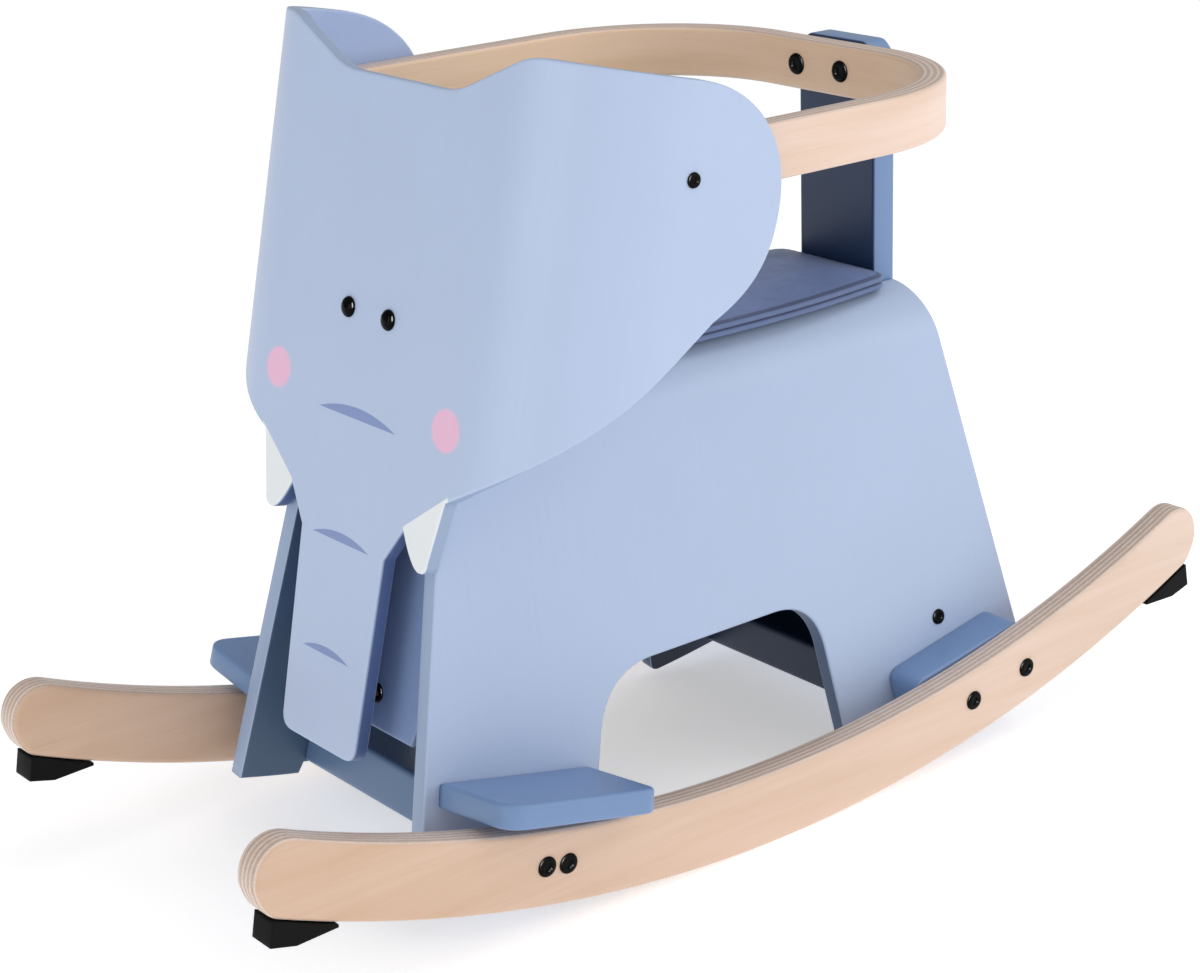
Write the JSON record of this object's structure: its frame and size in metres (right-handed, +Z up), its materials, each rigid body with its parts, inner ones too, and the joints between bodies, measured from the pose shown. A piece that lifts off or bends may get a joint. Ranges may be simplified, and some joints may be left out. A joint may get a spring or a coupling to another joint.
{
  "type": "rocking elephant",
  "caption": "Rocking elephant for a toddler: bent-wood saddle on two curved rockers, moulded face with folded-back ears, and a U-shaped hoop with a post round the seat.",
  "frame": {"origin": "on the floor, midway along the rockers and midway between them", "axes": "+Z up, the elephant looks along -Y, +X is its left side"},
  "size_m": [0.2856, 0.615, 0.4042],
  "materials": {
    "pale_paint": "pale blue paint on bent plywood, satin",
    "deep_paint": "mid blue paint on plywood, satin",
    "slate_paint": "slate blue paint on plywood, satin",
    "birch": "clear-coated birch plywood",
    "rubber": "matt black",
    "upholstery": "soft slate blue synthetic leather with piped seams",
    "black_steel": "black-finished steel"
  },
  "bodies": {
    "root": {"saddle_shell": "pale_paint", "face_panel": "pale_paint", "backrest_post": "deep_paint", "neck_post": "slate_paint", "front_board": "slate_paint", "rear_board": "slate_paint", "front_cross_rail": "slate_paint", "rear_cross_rail": "slate_paint", "hoop": "birch", "rocker_left": "birch", "rocker_right": "birch", "footrest_left": "deep_paint", "footrest_right": "deep_paint", "spacer_block_front_left": "deep_paint", "spacer_block_front_right": "deep_paint", "spacer_block_rear_left": "deep_paint", "spacer_block_rear_right": "deep_paint", "seat_cushion": "upholstery", "rubber_stop_front_left": "rubber", "rubber_stop_front_right": "rubber", "rubber_stop_rear_left": "rubber", "rubber_stop_rear_right": "rubber", "rocker_bolt_front_left_1": "black_steel", "rocker_bolt_front_left_2": "black_steel", "rocker_bolt_rear_left_1": "black_steel", "rocker_bolt_rear_left_2": "black_steel", "ear_bolt_left": "black_steel", "ear_nut_left": "black_steel", "panel_bolt_left": "black_steel", "eye_bolt_left": "black_steel", "eye_nut_left": "black_steel", "hoop_bolt_left": "black_steel", "hoop_nut_left": "black_steel", "board_screw_left": "black_steel", "post_bolt_left_1": "black_steel", "post_bolt_left_2": "black_steel", "footrest_screw_left_1": "black_steel", "footrest_screw_left_2": "black_steel", "rocker_bolt_front_right_1": "black_steel", "rocker_bolt_front_right_2": "black_steel", "rocker_bolt_rear_right_1": "black_steel", "rocker_bolt_rear_right_2": "black_steel", "ear_bolt_right": "black_steel", "ear_nut_right": "black_steel", "panel_bolt_right": "black_steel", "eye_bolt_right": "black_steel", "eye_nut_right": "black_steel", "hoop_bolt_right": "black_steel", "hoop_nut_right": "black_steel", "board_screw_right": "black_steel", "post_bolt_right_1": "black_steel", "post_bolt_right_2": "black_steel", "footrest_screw_right_1": "black_steel", "footrest_screw_right_2": "black_steel"}
  },
  "joints": []
}
